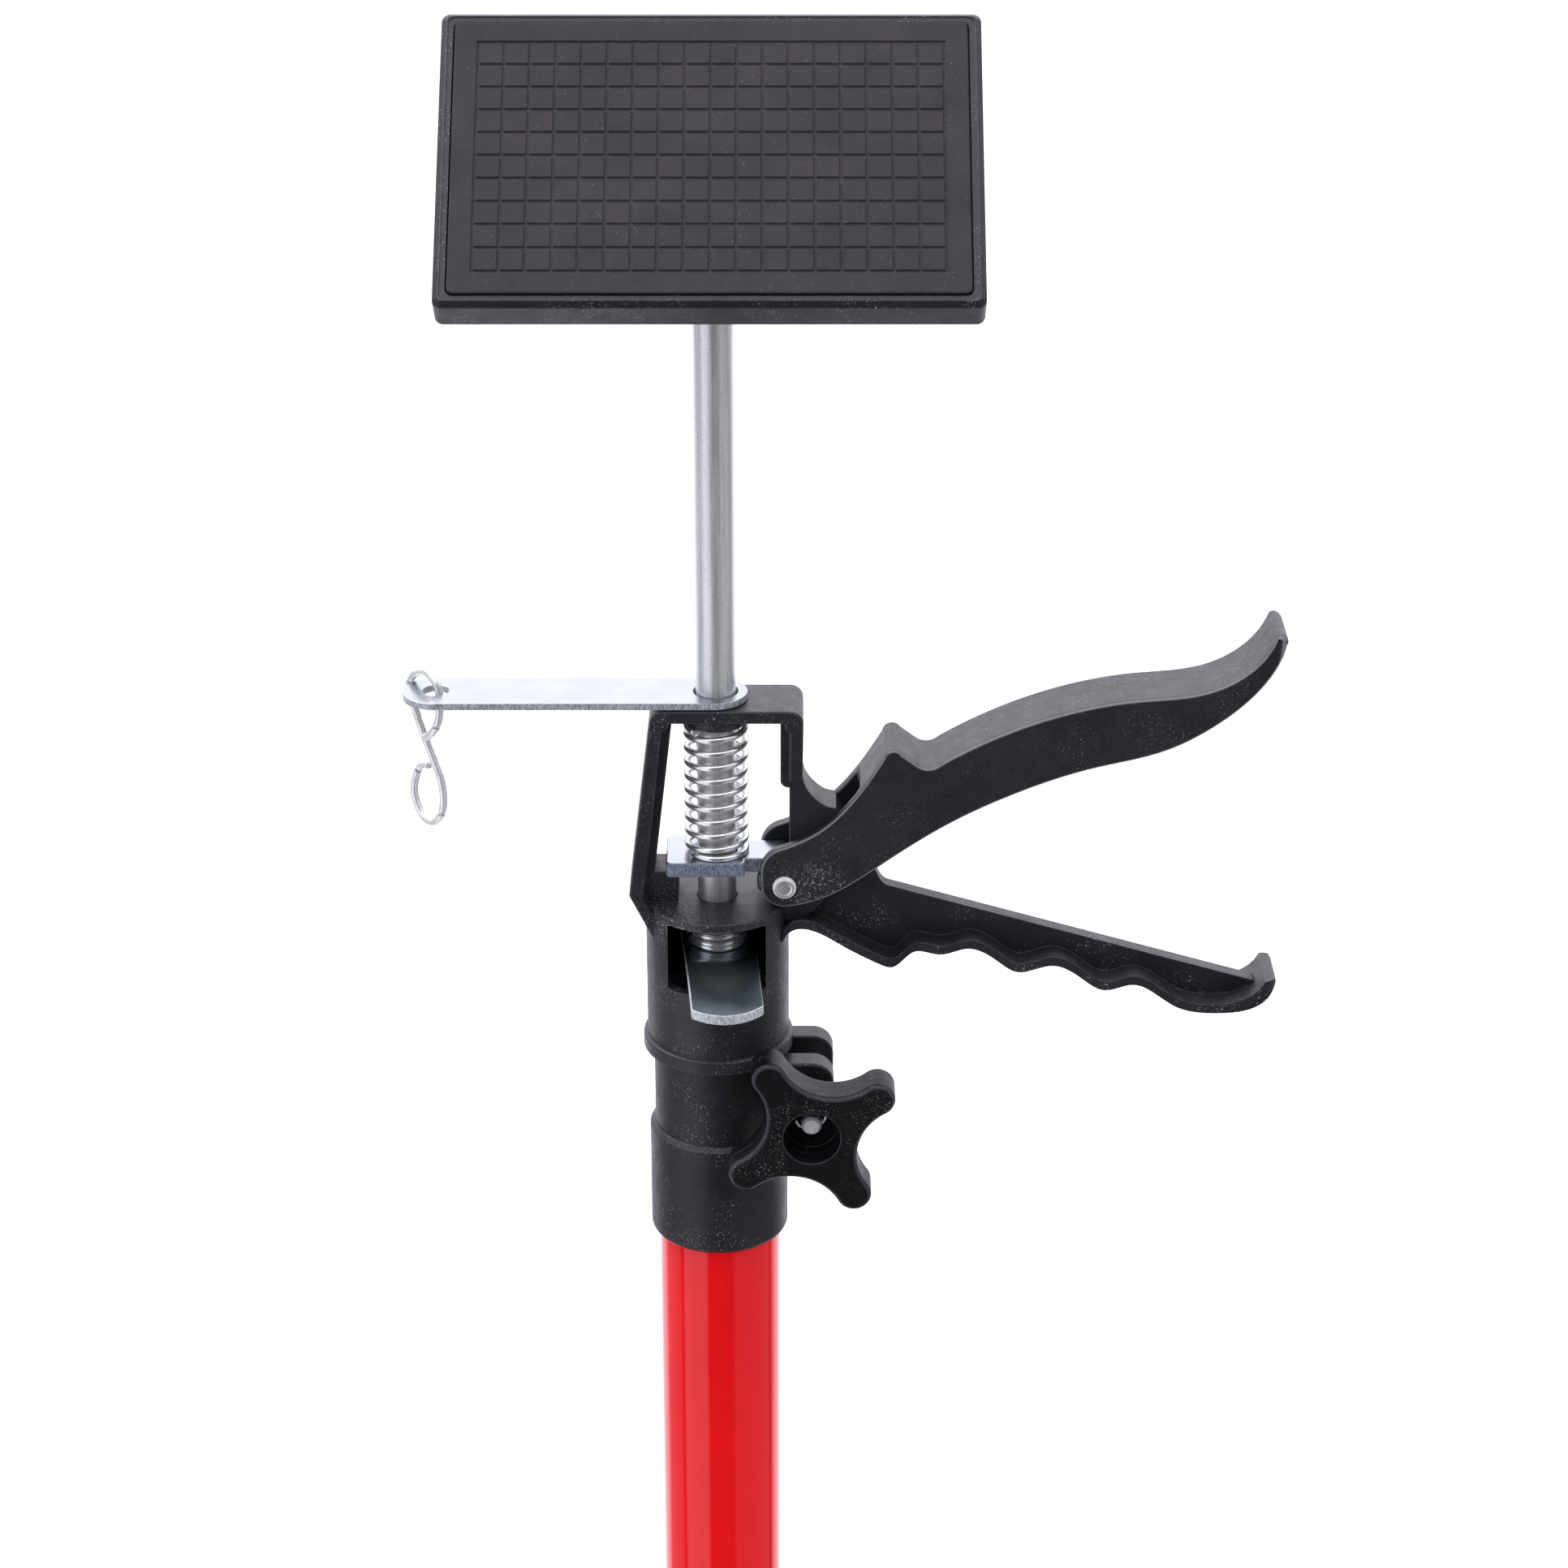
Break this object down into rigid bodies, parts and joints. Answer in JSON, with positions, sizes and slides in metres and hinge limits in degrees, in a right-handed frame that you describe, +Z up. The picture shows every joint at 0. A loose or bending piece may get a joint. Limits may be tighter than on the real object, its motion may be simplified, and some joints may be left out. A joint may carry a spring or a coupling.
{
  "type": "telescopic support prop",
  "caption": "Telescopic support prop with a tilting rubber-faced pad, squeeze-lever ratchet rod, swinging hook arm, clamp collar with star knob, and a flat foot.",
  "frame": {"origin": "centre of the foot's bottom face, on the axis of the tubes", "axes": "+Z up along the tubes, +X towards the squeeze lever, -X towards the hook arm, -Y towards the side the pad faces"},
  "size_m": [0.2664, 0.0946, 0.6512],
  "materials": {
    "black_plastic": "satin moulded",
    "bush_plastic": "natural acetal",
    "pad_rubber": "matte moulded",
    "red_paint": "gloss powder coat",
    "zinc_rod": "zinc plated, drawn",
    "zinc_tube": "zinc plated tube",
    "zinc_sheet": "bright blue zinc plate",
    "zinc_brake": "zinc plate",
    "spring_steel": "bright drawn wire",
    "fastener_steel": "zinc plated",
    "rivet_aluminium": "satin"
  },
  "bodies": {
    "base": {"foot_rubber": "pad_rubber", "foot_plate": "black_plastic", "foot_socket": "black_plastic", "foot_screws": "fastener_steel", "socket_rivets": "rivet_aluminium", "outer_tube": "red_paint", "clamp_collar": "black_plastic", "collar_rivets": "rivet_aluminium", "clamp_bolt": "fastener_steel", "clamp_washer": "fastener_steel", "split_pin": "fastener_steel"},
    "knob": {"star_knob": "black_plastic", "knob_nut": "fastener_steel"},
    "stage": {"inner_tube": "zinc_tube", "guide_bush": "bush_plastic", "head_body": "black_plastic", "head_screws": "fastener_steel", "lever_rivet": "rivet_aluminium", "drive_spring": "spring_steel", "brake_spring": "spring_steel"},
    "lever": {"squeeze_lever": "black_plastic"},
    "drive": {"drive_plate": "zinc_sheet"},
    "brake": {"brake_plate": "zinc_brake"},
    "rod": {"rod": "zinc_rod", "rod_end_washer": "fastener_steel", "rod_end_screw": "fastener_steel"},
    "arm": {"hook_arm": "zinc_sheet"},
    "hook": {"wire_hook": "spring_steel"},
    "swivel": {"swivel_block": "black_plastic", "swivel_screw": "fastener_steel"},
    "pad": {"pad_plate": "black_plastic", "pad_rubber": "pad_rubber", "pad_hinge_pin": "fastener_steel", "pad_pin_clip": "fastener_steel"}
  },
  "joints": [
    {"name": "stage_slide", "type": "slide", "parent": "base", "child": "stage", "axis": [0, 0, 1], "range_m": [0, 0.2]},
    {"name": "knob_turn", "type": "hinge", "parent": "base", "child": "knob", "pos_m": [0.029, 0, 0.3165], "axis": [0, 1, 0], "continuous": true},
    {"name": "lever_squeeze", "type": "hinge", "parent": "stage", "child": "lever", "pos_m": [0.0206, 0, 0.3906], "axis": [0, 1, 0], "range_deg": [0, 22], "stiffness_Nm_per_rad": 0.2, "springref_deg": -57.3},
    {"name": "plate_lift", "type": "slide", "parent": "stage", "child": "drive", "axis": [0, 0, 1], "range_m": [0, 0.0027], "deforming": ["drive_spring"]},
    {"name": "brake_tilt", "type": "hinge", "parent": "stage", "child": "brake", "pos_m": [-0.00172, 0.0149, 0.3692], "axis": [-0.9934, -0.1149, 0], "range_deg": [0, 9], "stiffness_Nm_per_rad": 0.2, "springref_deg": -28.65, "deforming": ["brake_spring"]},
    {"name": "rod_slide", "type": "slide", "parent": "stage", "child": "rod", "axis": [0, 0, 1], "range_m": [-0.12, 0.13]},
    {"name": "arm_swing", "type": "hinge", "parent": "stage", "child": "arm", "pos_m": [0, 0, 0.4498], "axis": [0, 0, 1], "range_deg": [-150, 150]},
    {"name": "hook_swing", "type": "hinge", "parent": "arm", "child": "hook", "pos_m": [-0.084, 0, 0.4498], "axis": [-0.7071, 0.7071, 0], "range_deg": [-30, 30]},
    {"name": "pad_swivel", "type": "hinge", "parent": "rod", "child": "swivel", "pos_m": [0, 0, 0.585], "axis": [0, 0, 1], "continuous": true},
    {"name": "pad_tilt", "type": "hinge", "parent": "swivel", "child": "pad", "pos_m": [0, 0, 0.604], "axis": [-1, 0, 0], "range_deg": [0, 88]}
  ],
  "couplings": [
    {"joint": "plate_lift", "follows": "lever_squeeze", "m_per_rad": 0.007}
  ]
}
